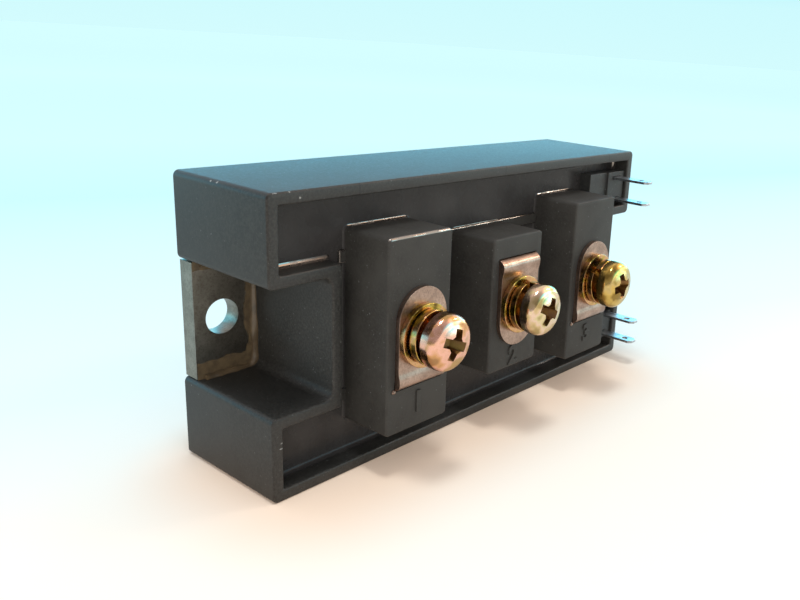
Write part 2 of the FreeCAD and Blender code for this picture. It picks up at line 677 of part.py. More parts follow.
def build():
    """Every piece by name, lying on the base plate."""
    pieces = {}
    case = case_frame()
    pieces["base_plate"] = base_plate()
    pieces["case_frame"] = case
    pieces["base_sealant"] = base_sealant(case)
    pieces["terminal_bridge"] = terminal_bridge()
    for i in range(len(TERMINALS)):
        pieces[f"terminal_strap_{i + 1}"] = terminal_strap(i)
        pieces[f"terminal_nut_{i + 1}"] = terminal_nut(i)
        pieces[f"terminal_screw_{i + 1}"] = terminal_screw(i)
        pieces[f"flat_washer_{i + 1}"] = flat_washer(i)
        pieces[f"spring_washer_{i + 1}"] = spring_washer(i)
    pieces["gate_guide_upper"] = gate_guide(1)
    pieces["gate_guide_lower"] = gate_guide(-1)
    for i in range(len(TAB_PLACES)):
        pieces[f"gate_tab_{i + 1}"] = gate_tab(i)
        pieces[f"gate_lead_{i + 1}"] = gate_lead(i)
    for number, side in ((1, -1), (2, 1)):
        pieces[f"base_solder_{number}"] = substrate_slab(side, COPPER_INSET, PLATE_THICKNESS, BACK_COPPER_Z)
        pieces[f"back_copper_{number}"] = substrate_slab(side, COPPER_INSET, BACK_COPPER_Z, CERAMIC_Z)
        pieces[f"ceramic_{number}"] = substrate_slab(side, 0, CERAMIC_Z, PAD_Z)
        pieces[f"collector_pad_{number}"] = pad(side, COLLECTOR_BOTTOM, COLLECTOR_TOP)
        pieces[f"emitter_pad_{number}"] = pad(side, EMITTER_EDGE, PAD_SIDE)
        pieces[f"gate_pad_{number}"] = pad(side, -PAD_SIDE, GATE_EDGE)
        pieces[f"igbt_chip_{number}"] = chip(side, IGBT_PLACE, IGBT_SIDE)
        pieces[f"diode_chip_{number}"] = chip(side, DIODE_PLACE, DIODE_SIDE)
        pieces[f"emitter_wires_{number}"] = emitter_wires(side)
        pieces[f"gate_wire_{number}"] = gate_wire(side)
    pieces["phase_link"] = phase_link()
    outer = ("base_plate", "case_frame", "base_sealant")
    inside = [shape for name, shape in pieces.items() if name not in outer] + potted_envelopes()
    pieces["silicone_gel"] = cavity_fill(PLATE_THICKNESS, GEL_LEVEL).cut(inside)
    pieces["epoxy_seal"] = cavity_fill(GEL_LEVEL, RESIN_LEVEL).cut(inside)
    return pieces


def main():
    """Write one STEP file for each piece."""
    os.makedirs("parts", exist_ok=True)
    for name, shape in build().items():
        turned_up(shape).exportStep(f"parts/{name}.step")


if __name__ == "__main__":
    main()
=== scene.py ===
"""Looks of a half-bridge power module: black mouldings, bent straps, plated screws and a plain studio."""
import bmesh
import bpy
import math

from mathutils import Matrix, Vector, noise


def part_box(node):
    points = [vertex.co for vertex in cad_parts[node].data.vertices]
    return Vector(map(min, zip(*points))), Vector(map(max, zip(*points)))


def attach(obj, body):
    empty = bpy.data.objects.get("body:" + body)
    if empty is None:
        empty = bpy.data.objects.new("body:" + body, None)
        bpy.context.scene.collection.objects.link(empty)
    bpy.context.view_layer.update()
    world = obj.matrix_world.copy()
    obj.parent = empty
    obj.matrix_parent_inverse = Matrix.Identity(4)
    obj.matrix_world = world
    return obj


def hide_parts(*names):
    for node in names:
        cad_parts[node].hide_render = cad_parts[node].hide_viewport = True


bl_info = {
    "name": "Power module looks",
    "version": (1, 0, 0),
    "blender": (4, 5, 0),
    "location": "View3D > Sidebar > Module",
    "description": "Builds the visible pieces, materials, lights and camera of a power module",
    "category": "Object",
}

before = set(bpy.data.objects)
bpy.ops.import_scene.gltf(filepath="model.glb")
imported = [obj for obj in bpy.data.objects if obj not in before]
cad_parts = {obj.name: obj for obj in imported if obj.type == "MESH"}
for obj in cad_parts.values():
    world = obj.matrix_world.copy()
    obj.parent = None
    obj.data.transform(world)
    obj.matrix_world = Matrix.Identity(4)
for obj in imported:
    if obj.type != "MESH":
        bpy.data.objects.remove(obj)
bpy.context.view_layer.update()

MM = 0.001
QUARTER = math.pi / 2
PHOTO_WIDTH = 800
PHOTO_HEIGHT = 600

TERMINALS = (1, 2, 3)
# The middle terminal has the shorter block, and its strap is turned round.
MIDDLE = 2
TABS = (1, 2, 3, 4)
SUBSTRATES = (1, 2)

# Noise that clouds softly, noise smoother still, and noise as broken as a grain.
SOFT = {"Detail": 3.0, "Roughness": 0.55}
SMOOTH = {"Detail": 2.0, "Roughness": 0.55}
GRAINY = {"Detail": 4.0, "Roughness": 0.7}

# The mounting face lies at y = 0 and faces +y, so a height above it is a distance along -y.
case_low, case_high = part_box("case_frame")
resin_low, resin_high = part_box("epoxy_seal")
bridge_low, bridge_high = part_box("terminal_bridge")
plate_low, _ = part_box("base_plate")
bead_low, bead_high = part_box("base_sealant")
CASE_TOP = -case_low.y
PLATE_TOP = -plate_low.y
RESIN_TOP = -resin_low.y
RESIN_FLOOR = -resin_high.y
BLOCK_TOP = -bridge_low.y
BLOCK_FLOOR = -bridge_high.y


def linear(hex_text):
    """An sRGB hex colour as linear red, green, blue and alpha."""
    values = [int(hex_text[i:i + 2], 16) / 255 for i in (1, 3, 5)]
    return [v / 12.92 if v <= 0.04045 else ((v + 0.055) / 1.055) ** 2.4 for v in values] + [1.0]


def length(name, description, millimetres):
    """A length that the user can change."""
    return bpy.props.FloatProperty(
        name=name, description=description, default=millimetres * MM, subtype="DISTANCE", unit="LENGTH"
    )


def colour(name, description, hex_text):
    """A colour that the user can change."""
    tone = linear(hex_text)
    return bpy.props.FloatVectorProperty(
        name=name, description=description, default=tone, subtype="COLOR", size=4, min=0.0, max=1.0
    )


def power(name, description, watts):
    """A lamp's power that the user can change."""
    return bpy.props.FloatProperty(name=name, description=description, default=watts, min=0.0, unit="POWER")


class ModuleCase(bpy.types.PropertyGroup):
    """Sizes and colours of the mouldings and the resin."""

    wall: length("Wall", "Thickness of the case wall", 1.8)
    corner: length("Corner", "Radius of the case's outer corners", 0.9)
    edge: length("Edge", "Rounding of the case's rim", 0.3)
    notch_width: length("Notch width", "Width of the end notches", 18.5)
    notch_depth: length("Notch depth", "Depth of the end notches", 10.6)
    notch_corner: length("Notch corner", "Radius inside the notches", 1.5)
    block_width: length("Block width", "Width of a terminal block", 13.0)
    long_block: length("Long block", "Length of the outer blocks", 30.5)
    short_block: length("Short block", "Length of the middle block", 23.5)
    block_corner: length("Block corner", "Radius of a block's upright corners", 0.7)
    block_edge: length("Block edge", "Rounding of a block's face", 0.35)
    rail_reach: length("Rail reach", "From the middle of the module to a rail's outer side", 12.0)
    wall_creep: length("Wall creep", "How far the resin creeps up the wall", 0.7)
    block_creep: length("Block creep", "How far the resin creeps up the blocks", 0.4)
    dark: colour("Dark tone", "Darker tone of the case", "#1a1a18")
    light: colour("Light tone", "Lighter tone of the case", "#232321")
    block_dark: colour("Block dark tone", "Darker tone of the blocks", "#2e2d2b")
    block_light: colour("Block light tone", "Lighter tone of the blocks", "#393835")


class ModuleMetal(bpy.types.PropertyGroup):
    """Sizes and colours of the straps, screws and washers."""

    strap_thickness: length("Strap", "Thickness of a strap", 0.8)
    strap_bend: length("Bend", "Inner radius of a strap's bend", 0.5)
    strap_reach: length("Strap reach", "From the screw to the outside of a strap's bend", 8.2)
    strap_nose: length("Strap nose", "From the screw to the end of a strap's round nose", 7.4)
    strap_hole: length("Strap hole", "Diameter of the screw hole in a strap", 5.5)
    crest: length("Crest", "How far a strap's bend bulges above its face", 0.3)
    head_crown: length("Crown", "Radius of the screw head's dome", 8.0)
    head_shoulder: length("Shoulder", "Radius of the screw head's shoulder", 1.35)
    recess_width: length("Recess width", "Width of the cross recess", 1.45)
    recess_span: length("Recess span", "Span of the cross recess", 5.0)
    strap_dark: colour("Strap dark tone", "Darker tone of the straps", "#917a6d")
    strap_light: colour("Strap light tone", "Lighter tone of the straps", "#b49a8b")


class ModuleStudio(bpy.types.PropertyGroup):
    """Light and floor."""

    key_watts: power("Key light", "Power of the light overhead", 2.0)
    fill_watts: power("Fill light", "Power of the light at the left in front", 3.8)
    glint_watts: power("Glint light", "Power of the small light at the right in front", 1.3)
    sky: bpy.props.FloatProperty(name="Sky", description="Strength of the even light", default=0.76, min=0.0)
    floor_near: colour("Floor near", "Floor colour in front", "#fefaee")
    # The warm floor tone is painted light: bounce light and shadow tint at the module's foot.
    floor_warm: colour("Floor warm bounce", "Warm floor tone along the module's foot, painted bounce light and shadow tint", "#ffe8d0")
    floor_far: colour("Floor far", "Floor colour far behind", "#d3fafb")


def as_colour(tone):
    """A hex text, a grey number or a linear colour as a linear colour."""
    if isinstance(tone, str):
        return linear(tone)
    return (tone, tone, tone, 1.0) if isinstance(tone, float) else tone


def feed(tree, node, inputs):
    """Links or sets a node's inputs; a node stands for its first output and a hex text for its colour."""
    for name, value in inputs.items():
        source = value.outputs[0] if isinstance(value, bpy.types.Node) else value
        if isinstance(source, bpy.types.NodeSocket):
            tree.links.new(source, node.inputs[name])
        else:
            node.inputs[name].default_value = as_colour(source) if isinstance(source, str) else source


def add(tree, kind, inputs=None, stops=(), **settings):
    """Adds one shader node with its settings, its inputs or links, and a ramp's stops."""
    node = tree.nodes.new("ShaderNode" + kind)
    for name, value in settings.items():
        setattr(node, name, value)
    feed(tree, node, inputs or {})
    if stops:
        elements = node.color_ramp.elements
        while len(elements) < len(stops):
            elements.new(1.0)
        for element, (place, tone) in zip(elements, stops):
            element.position = place
            element.color = as_colour(tone)
    return node


def new_material(name):
    """An empty material: its tree, its shader and the object's own coordinates."""
    material = bpy.data.materials.new(name)
    material.use_nodes = True
    tree = material.node_tree
    where = add(tree, "TexCoord").outputs["Object"]
    return material, tree, tree.nodes["Principled BSDF"], where


def pattern(tree, where, millimetres, kind, stops):
    """A noise with blobs of about one size, and a ramp that turns it into tones or numbers."""
    blobs = add(tree, "TexNoise", {"Vector": where, "Scale": 1 / (millimetres * MM), **kind})
    return blobs, add(tree, "ValToRGB", {"Fac": blobs}, stops)


def moulded_plastic(name, dark, light, rough, grain, sheen, joints=(), marks=()):
    """Glass-filled moulding compound from a spark-eroded tool.

    It looks matt and finely pebbled, with faint flow marks, pale grains in the skin and a little dust.
    """
    material, tree, shader, where = new_material(name)
    _, skin = pattern(tree, where, 6.0, SOFT, [(0.35, dark), (0.68, light)])
    # The real grain is about 0.1 mm, too fine to show, so it is drawn coarser.
    fine, roughness = pattern(tree, where, grain, GRAINY, [(0.3, rough[0]), (0.7, rough[1])])
    grains = add(tree, "ValToRGB", {"Fac": fine}, [(0.42, 0.0), (0.62, 0.55)])
    _, dust = pattern(tree, where, 0.45, SMOOTH, [(0.70, 0.0), (0.76, 1.0)])
    layers = [(grains, "#3d3e3a"), (dust, "#5a5d5c")]
    layers += [(joint_line(tree, where, x), "#0c0c0c") for x in joints]
    layers += [(pale_mark(tree, where, place, half_size), "#8f918e") for place, half_size in marks]
    for cover, tone in layers:
        skin = add(tree, "Mix", {0: cover, 6: skin, 7: tone}, data_type="RGBA").outputs[2]
    bump = add(tree, "Bump", {"Strength": 0.55, "Distance": 0.03 * MM, "Height": fine})
    feed(tree, shader, {"Base Color": skin, "Roughness": roughness, "IOR": 1.5, "Normal": bump})
    feed(tree, shader, {"Specular IOR Level": sheen, "Specular Tint": "#fff7f6"})
    return material


def joint_line(tree, where, x):
    """A thin line across the upper rim, where two parts of the mould met."""
    half_line = 0.11 * MM
    lowest = case_high.z - 1.7 * MM
    deepest = case_low.y + 1.2 * MM
    split = add(tree, "SeparateXYZ", {"Vector": where}).outputs
    on_line = add(tree, "Math", {0: split["X"], 1: x, 2: half_line}, operation="COMPARE")
    above = add(tree, "Math", {0: split["Z"], 1: lowest}, operation="GREATER_THAN")
    in_front = add(tree, "Math", {0: split["Y"], 1: deepest}, operation="LESS_THAN")
    both = add(tree, "Math", {0: on_line, 1: above}, operation="MULTIPLY")
    return add(tree, "Math", {0: both, 1: in_front}, operation="MULTIPLY")


def pale_mark(tree, where, place, half_size):
    """A small ragged knock, where the black skin is bruised pale; place and half size in millimetres."""
    off = add(tree, "VectorMath", {0: where, 1: Vector(place) * MM}, operation="SUBTRACT")
    share = add(tree, "VectorMath", {0: off, 1: Vector(half_size) * MM}, operation="DIVIDE")
    reach = add(tree, "VectorMath", {0: share}, operation="LENGTH").outputs["Value"]
    rags = add(tree, "TexNoise", {"Vector": where, "Scale": 1 / (0.3 * MM), **SOFT})
    ragged = add(tree, "Math", {0: reach, 1: rags}, operation="ADD")
    return add(tree, "ValToRGB", {"Fac": ragged}, [(0.0, 0.9), (0.85, 0.9), (1.0, 0.0)])


def cast_resin():
    """Black epoxy, poured into the case and cured: level and dark, with a faint ripple and a low sheen."""
    material, tree, shader, where = new_material("cast black epoxy")
    ripple, resin = pattern(tree, where, 7.0, SMOOTH, [(0.3, "#2f2e2d"), (0.7, "#393837")])
    _, roughness = pattern(tree, where, 2.0, SOFT, [(0.3, 0.22), (0.8, 0.34)])
    bump = add(tree, "Bump", {"Strength": 0.25, "Distance": 0.15 * MM, "Height": ripple})
    feed(tree, shader, {"Base Color": resin, "Roughness": roughness, "IOR": 1.52, "Normal": bump})
    feed(tree, shader, {"Specular IOR Level": 0.15})
    return material


def wet_edge(name, smooth, dull):
    """A glassy rim of resin, or a smooth moulded edge, on black plastic, with a raised sheen that paints a
    highlight line.

    It throws a thin warm line where it turns to the light, broken where it is dull: a painted highlight,
    warmed by the specular tint. The line is thinner than a pixel, so the IOR is set far above that of epoxy,
    1.5, to let it show.
    """
    material, tree, shader, where = new_material(name)
    _, roughness = pattern(tree, where, 3.5, SMOOTH, [(0.42, dull), (0.5, smooth)])
    feed(tree, shader, {"Base Color": "#2b2a29", "Roughness": roughness})
    feed(tree, shader, {"IOR": 3.0, "Specular Tint": "#fff0e3"})
    return material


def plated_metal(name, dark, light, patch_mm, rough, scratch=0.2, stretch=(1.0, 1.0, 1.0)):
    """Plated or bare metal, as it left the rolls.

    Its colour changes slowly over patches, and fine lines and small spots of tarnish break its gloss.
    """
    material, tree, shader, where = new_material(name)
    _, clean = pattern(tree, where, patch_mm, SOFT, [(0.34, dark), (0.66, light)])
    drawn = add(tree, "Mapping", {"Vector": where, "Scale": stretch})
    lines, roughness = pattern(tree, drawn, 0.5, GRAINY, [(0.3, rough[0]), (0.7, rough[1])])
    _, tarnish = pattern(tree, where, 0.35, GRAINY, [(0.36, 0.35), (0.54, 0.0)])
    metal = add(tree, "Mix", {0: tarnish, 6: clean, 7: "#4d4036"}, data_type="RGBA").outputs[2]
    bump = add(tree, "Bump", {"Strength": scratch, "Distance": 0.02 * MM, "Height": lines})
    feed(tree, shader, {"Base Color": metal, "Metallic": 1.0, "Roughness": roughness, "Normal": bump})
    return material


def passivated_zinc(name, tones, rough):
    """Zinc plate on steel, yellow passivated.

    It looks gold and drifts to pink and green, with a bright rubbed gloss and fine dark pits.
    """
    material, tree, shader, where = new_material(name)
    # The noise seldom leaves the middle third of its range, so the tones are spread over that.
    stops = [(0.33 + 0.34 * i / (len(tones) - 1), tone) for i, tone in enumerate(tones)]
    _, film = pattern(tree, where, 3.0, {}, stops)
    fine, roughness = pattern(tree, where, 0.45, GRAINY, [(0.3, rough[1]), (0.7, rough[0])])
    pits = add(tree, "ValToRGB", {"Fac": fine}, [(0.26, 0.4), (0.34, 0.0)])
    metal = add(tree, "Mix", {0: pits, 6: film, 7: "#4a3519"}, data_type="RGBA").outputs[2]
    bump = add(tree, "Bump", {"Strength": 0.3, "Distance": 0.03 * MM, "Height": fine})
    feed(tree, shader, {"Base Color": metal, "Metallic": 1.0, "Roughness": roughness, "Normal": bump})
    return material


def soft_filler(name, dark, light, roughness, patch_mm, coat=0.0):
    """A poured, pressed or woven filler: an even body with a mild mottle."""
    material, tree, shader, where = new_material(name)
    mottle, body = pattern(tree, where, patch_mm, SOFT, [(0.3, dark), (0.7, light)])
    bump = add(tree, "Bump", {"Strength": 0.3, "Distance": 0.05 * MM, "Height": mottle})
    feed(tree, shader, {"Base Color": body, "Roughness": roughness, "IOR": 1.45})
    feed(tree, shader, {"Coat Weight": coat, "Normal": bump})
    return material


def arc(centre, radius, start, end, steps):
    """Points on an arc between two angles in degrees."""
    turns = [math.radians(start + (end - start) * i / steps) for i in range(steps + 1)]
    return [(centre[0] + radius * math.cos(t), centre[1] + radius * math.sin(t)) for t in turns]


def rounded_outline(corners, radii, steps=6):
    """A closed outline with each right-angled corner turned by an arc of its own radius."""
    points = []
    for i, (corner, radius) in enumerate(zip(corners, radii)):
        here = Vector(corner)
        before = (Vector(corners[i - 1]) - here).normalized()
        after = (Vector(corners[(i + 1) % len(corners)]) - here).normalized()
        centre = here + (before + after) * radius
        for k in range(steps + 1):
            turn = QUARTER * k / steps
            points.append(centre - after * radius * math.cos(turn) - before * radius * math.sin(turn))
    return points


def case_outline(inset):
    """The case's plan, drawn in by an inset; x runs along the case and z across it."""
    size = bpy.context.scene.module_case
    half_length = (case_high.x - case_low.x) / 2 - inset
    half_width = (case_high.z - case_low.z) / 2 - inset
    notch = size.notch_width / 2 + inset
    wall = (case_high.x - case_low.x) / 2 - size.notch_depth - inset
    outer = max(size.corner - inset, 0.3 * MM)
    # The rim's outlines turn into the notch as the case does, and the inner wall turns more tightly.
    hollow = size.notch_corner if inset < 1.0 * MM else 0.4 * MM
    right = [(half_length, -half_width), (half_length, -notch), (wall, -notch)]
    right += [(x, -z) for x, z in reversed(right)]
    left = [(-x, -z) for x, z in right]
    radii = [outer, outer, hollow, hollow, outer, outer]
    return rounded_outline(right + left, radii + radii)


def block_outline(x, half_wide, half_long, radius, inset=0.0):
    """A rounded rectangle centred on x."""
    wide = half_wide - inset
    tall = half_long - inset
    corners = [(x + wide, -tall), (x + wide, tall), (x - wide, tall), (x - wide, -tall)]
    return rounded_outline(corners, [max(radius - inset, 0.1 * MM)] * 4)


def rim_rounding(edge, top):
    """Inset and height of five points on the round from an upright side to its top."""
    turns = [QUARTER * k / 4 for k in range(5)]
    return [(edge * (1 - math.cos(t)), top - edge + edge * math.sin(t)) for t in turns]


def loft(rings, ends="capped"):
    """Quads between rings of (x, height, z); the first and last ring are capped, joined or left open."""
    mesh = bmesh.new()
    rows = [[mesh.verts.new((x, -height, z)) for x, height, z in ring] for ring in rings]
    pairs = list(zip(rows, rows[1:]))
    if ends == "joined":
        pairs.append((rows[-1], rows[0]))
    for one, two in pairs:
        for i in range(len(one)):
            k = (i + 1) % len(one)
            mesh.faces.new((one[i], one[k], two[k], two[i]))
    if ends == "capped":
        mesh.faces.new(list(reversed(rows[0])))
        mesh.faces.new(rows[-1])
    bmesh.ops.recalc_face_normals(mesh, faces=mesh.faces)
    return mesh


def at_height(outline, height):
    """An outline as ring points at one height above the mounting face."""
    return [(x, height, z) for x, z in outline]


def turned(x, profile, steps=64):
    """Rings of a turned shape about a terminal's axis, from (radius, height) points."""
    return [at_height(arc((x, 0), radius, 0, 360, steps)[:-1], height) for radius, height in profile]


def box_mesh(x0, x1, h0, h1, z0, z1):
    """A block between two corners; heights are above the mounting face."""
    corners = [(x0, z0), (x1, z0), (x1, z1), (x0, z1)]
    return loft([at_height(corners, h0), at_height(corners, h1)])


def in_scene(name, data):
    """A new object in the scene."""
    thing = bpy.data.objects.new(name, data)
    bpy.context.scene.collection.objects.link(thing)
    return thing


def as_object(name, mesh):
    """A bmesh as an object in the scene."""
    data = bpy.data.meshes.new(name)
    mesh.to_mesh(data)
    mesh.free()
    return in_scene(name, data)


def evaluated_mesh(thing):
    """A new mesh of a thing as its modifiers or its curve make it."""
    return bpy.data.meshes.new_from_object(thing.evaluated_get(bpy.context.evaluated_depsgraph_get()))


def carve(thing, tool):
    """Cuts a tool out of a thing and removes the tool."""
    cutter = as_object("cutter", tool)
    modifier = thing.modifiers.new("carve", "BOOLEAN")
    modifier.operation = "DIFFERENCE"
    modifier.solver = "EXACT"
    modifier.object = cutter
    carved = evaluated_mesh(thing)
    thing.modifiers.clear()
    old = thing.data
    thing.data = carved
    bpy.data.meshes.remove(old)
    bpy.data.objects.remove(cutter)


def round_edges(thing, width, angle):
    """Rounds the edges of a thing that are sharper than an angle in degrees."""
    bevel = thing.modifiers.new("round edges", "BEVEL")
    bevel.width = width
    bevel.segments = 2
    bevel.limit_method = "ANGLE"
    bevel.angle_limit = math.radians(angle)
    return bevel


def soften(thing, width=0.0, angle=40):
    """Shades a thing smooth and rounds its edges, or leaves them crisp where the width is none."""
    thing.data.shade_smooth()
    if width:
        round_edges(thing, width, angle).harden_normals = True
    else:
        thing.data.set_sharp_from_angle(angle=math.radians(angle))


def finish_piece(thing, material, slot, *nodes):
    """Gives a piece its material and body, and hides the nodes that it stands for; its slot is not used."""
    thing.data.materials.clear()
    thing.data.materials.append(material)
    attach(thing, "root")
    if nodes:
        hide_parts(*nodes)


def second_material(thing, material, chosen):
    """Gives the faces whose centre and normal pass a test a second material."""
    thing.data.materials.append(material)
    for face in thing.data.polygons:
        if chosen(face.center, face.normal):
            face.material_index = 1


def dress_node(name, material, round_width=0.0):
    """A better material, and rounded edges where asked, on a node that keeps its own shape."""
    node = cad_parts[name]
    node.data.materials.clear()
    node.data.materials.append(material)
    if round_width:
        weld = node.modifiers.new("join facets", "WELD")
        weld.merge_threshold = 0.002 * MM
        round_edges(node, round_width, 50)


class MODULE_OT_case(bpy.types.Operator):
    """Builds the moulded case with its rounded rim and thin walls"""

    bl_idname = "module.case"
    bl_label = "Case"

    def execute(self, context):
        size = context.scene.module_case
        wall = size.wall
        foot = 0.15 * MM
        rim = rim_rounding(size.edge, CASE_TOP)
        profile = [(foot, 0.0), (0.0, foot)] + rim
        profile += [(wall - inset, height) for inset, height in reversed(rim)] + [(wall, 0.0)]
        rings = [at_height(case_outline(inset), height) for inset, height in profile]
        case = as_object("case_shell", loft(rings, "joined"))
        # The base plate lies in a pocket at the back.
        pocket_x = case_high.x - wall
        pocket_z = case_high.z - wall
        carve(case, box_mesh(-pocket_x, pocket_x, -1 * MM, PLATE_TOP, -pocket_z, pocket_z))
        soften(case, angle=32)
        joints = (-29.6 * MM, 2.9 * MM, 35.8 * MM)
        # Knocks on the left end and the rim: place and half size in millimetres.
        marks = (
            ((-44.75, -10.7, 22.0), (0.45, 0.45, 0.45)),
            ((-44.75, -9.2, 22.0), (0.35, 0.35, 0.35)),
            ((-39.8, -22.0, 21.2), (0.35, 0.4, 0.3)),
            ((-43.3, -22.0, -13.1), (0.85, 0.4, 0.2)),
            ((-43.5, -22.0, -13.9), (0.7, 0.4, 0.18)),
            ((-43.6, -22.0, 22.2), (0.9, 0.4, 0.3)),
            ((-41.4, -22.0, 22.2), (0.6, 0.4, 0.3)),
        )
        moulding = moulded_plastic(
            "spark-eroded black moulding", size.dark, size.light, (0.42, 0.6), 0.4, 0.42, joints, marks
        )
        finish_piece(case, moulding, "moulding", "case_frame")
        return {"FINISHED"}


class MODULE_OT_base(bpy.types.Operator):
    """Dresses the base plate and builds the bead of adhesive round the notches"""

    bl_idname = "module.base"
    bl_label = "Base plate and bead"

    def execute(self, context):
        size = context.scene.module_case
        # Dull nickel on a rolled copper plate: a grey satin with slow clouds.
        look = ("#77736a", "#8d897f", 3.0, (0.34, 0.5), 0.3, (1.0, 1.0, 6.0))
        nickel = plated_metal("dull nickel on copper plate", *look)
        dress_node("base_plate", nickel, 0.15 * MM)
        # Cured adhesive is brown and half glossy where it stands thick, and dull where it has spread thin.
        thick = soft_filler("brown adhesive", "#43392b", "#5c4e39", 0.3, 1.5, 0.25)
        thin = soft_filler("thin brown wash", "#4a4031", "#62553f", 0.3, 0.9)
        for side, name in ((-1, "left"), (1, "right")):
            path = evenly(notch_path(side, size), 0.8 * MM)
            finish_piece(bead_along(f"{name}_bead", path, side), thick, "sealant", "base_sealant")
            # The wash runs 1.1 mm further than the bead at both ends.
            ends = [(x + side * 1.1 * MM, z) for x, z in (path[0], path[-1])]
            path = evenly([ends[0]] + path + [ends[1]], 0.35 * MM)
            finish_piece(film_patch(f"{name}_film", path, side), thin, "sealant")
        return {"FINISHED"}


def notch_path(side, size):
    """The foot of one notch's wall, from one side round to the other."""
    wall = case_high.x - size.notch_depth
    out = case_high.x - 1.6 * MM
    half = size.notch_width / 2
    turn = size.notch_corner
    path = [(out, -half), (wall + turn, -half)]
    path += arc((wall + turn, -half + turn), turn, 270, 180, 5)[1:]
    path += [(wall, half - turn)]
    path += arc((wall + turn, half - turn), turn, 180, 90, 5)[1:]
    path += [(out, half)]
    return [(side * x, z) for x, z in path]


def evenly(path, gap):
    """A path with more points, about one gap apart."""
    fine = []
    for one, two in zip(path, path[1:]):
        way = Vector(two) - Vector(one)
        steps = max(1, round(way.length / gap))
        fine += [tuple(Vector(one).lerp(Vector(two), k / steps)) for k in range(steps)]
    return fine + [path[-1]]


def heading(path, i, side):
    """One point of a path round a notch, the way the path runs there, and the way into the notch."""
    here = Vector(path[i])
    ahead = Vector(path[min(i + 1, len(path) - 1)]) - Vector(path[max(i - 1, 0)])
    ahead.normalize()
    inward = Vector((ahead.y, -ahead.x)) * side
    if inward.dot(Vector((side * case_high.x, 0)) - here) < 0:
        inward = -inward
    return here, ahead, inward


def bead_along(name, path, side):
    """A blunt, slightly uneven bead that runs along a path at the plate's face."""
    thick = bead_high.y - bead_low.y
    rings = []
    for i in range(len(path)):
        here, _, inward = heading(path, i, side)
        # The bead swells and thins over about 2 mm.
        swell = 0.82 + 0.35 * noise.noise((path[i][0] * 600, path[i][1] * 600, side))
        high = thick * swell
        ring = []
        for k in range(9):
            turn = QUARTER * k / 8
            across = inward * high * math.cos(turn)
            ring.append((here.x + across.x, PLATE_TOP + high * math.sin(turn), here.y + across.y))
        buried = here - inward * 0.1 * MM
        ring += [(buried.x, PLATE_TOP + high, buried.y), (buried.x, PLATE_TOP, buried.y)]
        rings.append(ring)
    bead = as_object(name, loft(rings))
    soften(bead, angle=60)
    return bead


def film_patch(name, path, side):
    """A thin uneven wash of adhesive that has crept out over the plate from the bead."""
    mesh = bmesh.new()
    rows = []
    for i in range(len(path)):
        here, ahead, inward = heading(path, i, side)
        # It spread furthest on the lower side of the notch.
        spread = 1.0 if here.y < 0 and abs(ahead.x) > 0.7 else 0.35
        place = Vector((path[i][0], path[i][1], 0.0)) / MM
        waver = 0.7 * noise.noise(place * 0.45) + 0.35 * noise.noise(place * 1.9)
        edge = here + inward * (0.9 + 1.9 * spread + waver) * MM
        at_bead = mesh.verts.new((here.x, -PLATE_TOP - 0.04 * MM, here.y))
        at_edge = mesh.verts.new((edge.x, -PLATE_TOP - 0.004 * MM, edge.y))
        rows.append((at_bead, at_edge))
    for one, two in zip(rows, rows[1:]):
        mesh.faces.new((one[0], two[0], two[1], one[1]))
    bmesh.ops.recalc_face_normals(mesh, faces=mesh.faces)
    return as_object(name, mesh)


class MODULE_OT_resin(bpy.types.Operator):
    """Builds the potting resin, with the rim that creeps up walls and blocks"""

    bl_idname = "module.resin"
    bl_label = "Potting resin"

    def execute(self, context):
        size = context.scene.module_case
        rings = [at_height(case_outline(size.wall), RESIN_FLOOR)]
        for out, up in creep_profile(size.wall_creep):
            rings.append(at_height(case_outline(size.wall + out), RESIN_TOP + up))
        resin = as_object("potting_resin", loft(rings))
        soften(resin)
        epoxy = cast_resin()
        edge = wet_edge("wet epoxy edge with painted highlight sheen", 0.08, 0.5)
        finish_piece(resin, epoxy, "potting_resin", "epoxy_seal")
        # Only the upper wall's rim takes the raised sheen, a painted highlight line.
        crept = RESIN_TOP + 0.01 * MM
        second_material(resin, edge, lambda centre, _: -centre.y > crept and centre.z > 5 * MM)
        for index in TERMINALS:
            x, half_wide, half_long = block_place(index)
            rings = []
            for out, up in creep_profile(size.block_creep):
                outline = block_outline(x, half_wide + out, half_long + out, size.block_corner + out)
                rings.append(at_height(outline, RESIN_TOP + up - 0.01 * MM))
            skirt = as_object(f"resin_creep_{index}", loft(rings, "open"))
            soften(skirt)
            finish_piece(skirt, epoxy, "potting_resin")
            # The upper straight rim of each skirt takes the raised sheen too: a painted highlight line.
            straight = half_wide / 2
            upper = half_long - 0.2 * MM
            second_material(skirt, edge, lambda centre, _: centre.z > upper and abs(centre.x - x) < straight)
        return {"FINISHED"}


def creep_profile(creep):
    """A quarter-round hollow: how far out and how far up the resin stands at a wall."""
    outs = [creep * k / 6 for k in range(7)]
    return [(out, creep - math.sqrt(creep ** 2 - (creep - out) ** 2)) for out in outs]


def middle_and_half(low, high):
    """The middle of a box along x, and half its width."""
    return (low.x + high.x) / 2, (high.x - low.x) / 2


def block_place(index):
    """Centre, half width and half length of one terminal block."""
    size = bpy.context.scene.module_case
    x, _ = middle_and_half(*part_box(f"flat_washer_{index}"))
    long = size.short_block if index == MIDDLE else size.long_block
    return x, size.block_width / 2, long / 2


def strap_way(index):
    """The side to which a strap bends down: up for the middle one and down for the others."""
    return 1 if index == MIDDLE else -1


